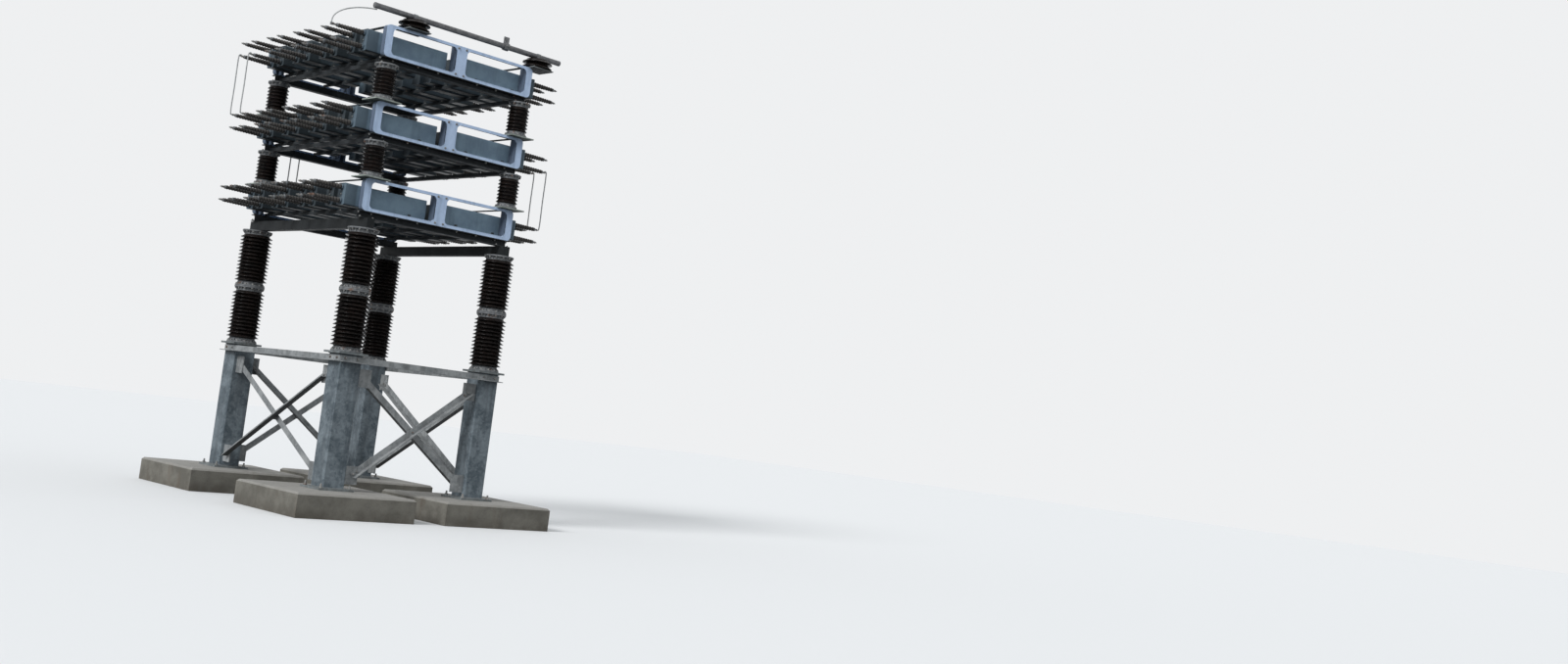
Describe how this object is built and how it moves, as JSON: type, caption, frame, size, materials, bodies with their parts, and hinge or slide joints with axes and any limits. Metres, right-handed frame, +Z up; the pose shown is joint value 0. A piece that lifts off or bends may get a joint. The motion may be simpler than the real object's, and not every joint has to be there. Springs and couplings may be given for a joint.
{
  "type": "shunt capacitor bank",
  "caption": "Outdoor shunt capacitor bank: tiers of capacitor cans in steel frames on post insulators, over a braced steel stand with a bus tube on top.",
  "frame": {"origin": "ground level, in the middle of the four footings", "axes": "+Z up, X across the two rows of cans, Y along the rows, the end with the bus tube looks along -Y"},
  "size_m": [3.65, 4.5, 6.5268],
  "materials": {
    "concrete": "cast concrete, weathered",
    "galvanised_steel": "hot-dip galvanised, dull and mottled",
    "porcelain": "dark brown glaze",
    "bushing_porcelain": "dark brown glaze",
    "insulator_fitting": "galvanised casting",
    "can_paint": "grey-blue paint, satin",
    "bus_aluminium": "dull extruded",
    "conductor": "dull drawn"
  },
  "bodies": {
    "root": {"base_beams": "galvanised_steel", "base_plates": "galvanised_steel", "bonding_rods": "conductor", "braces_back": "galvanised_steel", "braces_front": "galvanised_steel", "braces_left": "galvanised_steel", "braces_right": "galvanised_steel", "bus_clamp": "bus_aluminium", "bus_posts": "porcelain", "bus_saddles": "bus_aluminium", "bus_seats": "galvanised_steel", "bus_tube": "bus_aluminium", "cap_plates": "galvanised_steel", "down_lead": "conductor", "footing_back_left": "concrete", "footing_back_right": "concrete", "footing_front_left": "concrete", "footing_front_right": "concrete", "gussets": "galvanised_steel", "jumpers": "conductor", "leg_back_left": "galvanised_steel", "leg_back_right": "galvanised_steel", "leg_front_left": "galvanised_steel", "leg_front_right": "galvanised_steel", "ring_bars_x": "galvanised_steel", "ring_bars_y": "galvanised_steel", "stand_insulator_fittings": "insulator_fitting", "stand_insulators_bottom": "porcelain", "stand_insulators_top": "porcelain", "tie_beams": "galvanised_steel", "tier_1_bushings_left": "bushing_porcelain", "tier_1_bushings_right": "bushing_porcelain", "tier_1_cans_left": "can_paint", "tier_1_cans_right": "can_paint", "tier_1_cross_beams": "galvanised_steel", "tier_1_end_frames": "galvanised_steel", "tier_1_floor_rails": "galvanised_steel", "tier_1_insulator_fittings": "insulator_fitting", "tier_1_insulators": "porcelain", "tier_1_seat_plates": "galvanised_steel", "tier_1_side_rails": "galvanised_steel", "tier_2_bushings_left": "bushing_porcelain", "tier_2_bushings_right": "bushing_porcelain", "tier_2_cans_left": "can_paint", "tier_2_cans_right": "can_paint", "tier_2_cross_beams": "galvanised_steel", "tier_2_end_frames": "galvanised_steel", "tier_2_floor_rails": "galvanised_steel", "tier_2_insulator_fittings": "insulator_fitting", "tier_2_insulators": "porcelain", "tier_2_seat_plates": "galvanised_steel", "tier_2_side_rails": "galvanised_steel", "tier_3_bushings_left": "bushing_porcelain", "tier_3_bushings_right": "bushing_porcelain", "tier_3_cans_left": "can_paint", "tier_3_cans_right": "can_paint", "tier_3_cross_beams": "galvanised_steel", "tier_3_end_frames": "galvanised_steel", "tier_3_floor_rails": "galvanised_steel", "tier_3_side_rails": "galvanised_steel"}
  },
  "joints": []
}
